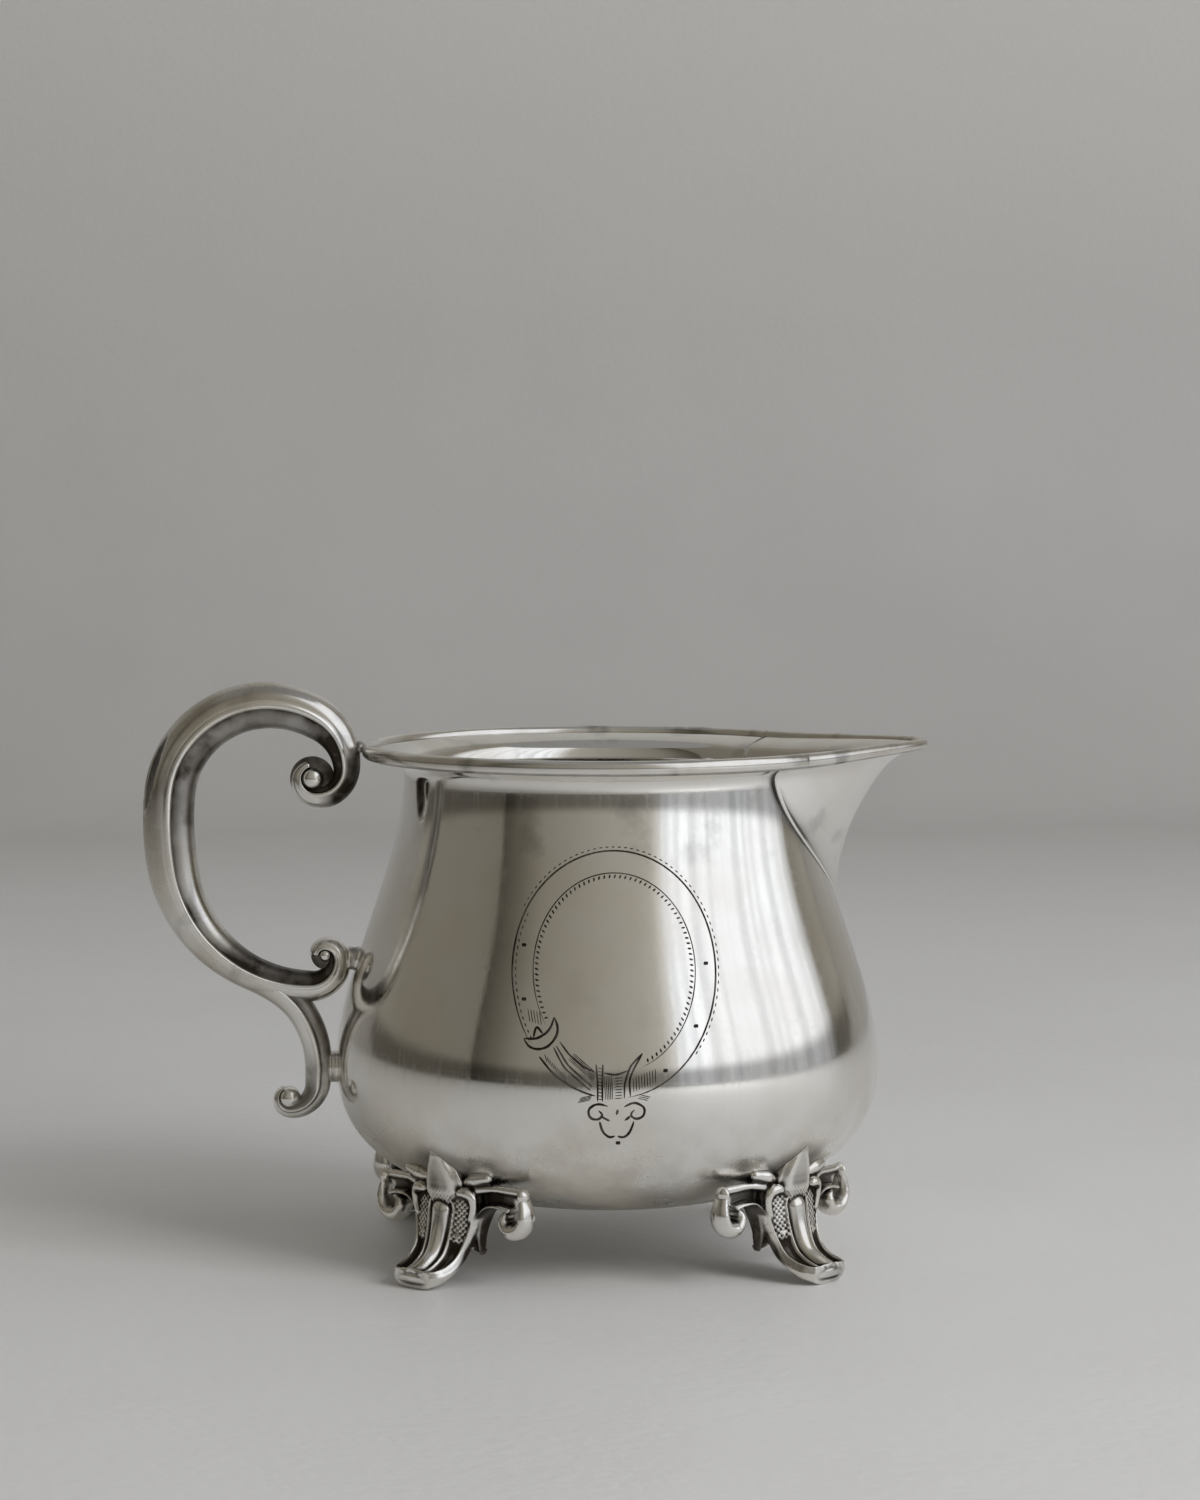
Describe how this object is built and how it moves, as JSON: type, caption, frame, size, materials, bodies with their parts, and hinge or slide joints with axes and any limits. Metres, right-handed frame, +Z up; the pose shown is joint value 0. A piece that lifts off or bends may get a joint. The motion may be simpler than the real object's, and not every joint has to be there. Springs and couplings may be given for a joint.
{
  "type": "cream jug",
  "caption": "Silver cream jug with a pear-shaped body, wired rim, soldered beak spout, scrolled handle with volutes and cast scroll feet, for pouring cream or milk at table.",
  "frame": {"origin": "on the table, under the middle of the jug's length and breadth", "axes": "+X towards the spout, -X towards the handle, +Z up; the XZ plane is the plane of symmetry"},
  "size_m": [0.1214, 0.084, 0.0884],
  "materials": {
    "sheet_silver": "polished silver sheet with fine polishing scratches and light warm tarnish",
    "wire_silver": "polished drawn silver wire, worn bright",
    "cast_silver": "cast silver, bright on its ridges and blackened in its hollows"
  },
  "bodies": {
    "root": {"body_shell": "sheet_silver", "spout": "sheet_silver", "rim_wire": "wire_silver", "lip_wire": "wire_silver", "handle_scroll": "cast_silver", "handle_branch": "cast_silver", "upper_bead": "cast_silver", "middle_bead": "cast_silver", "lower_bead": "cast_silver", "middle_stud": "cast_silver", "lower_stud": "cast_silver", "foot_front_left": "cast_silver", "foot_front_right": "cast_silver", "foot_rear_left": "cast_silver", "foot_rear_right": "cast_silver"}
  },
  "joints": []
}
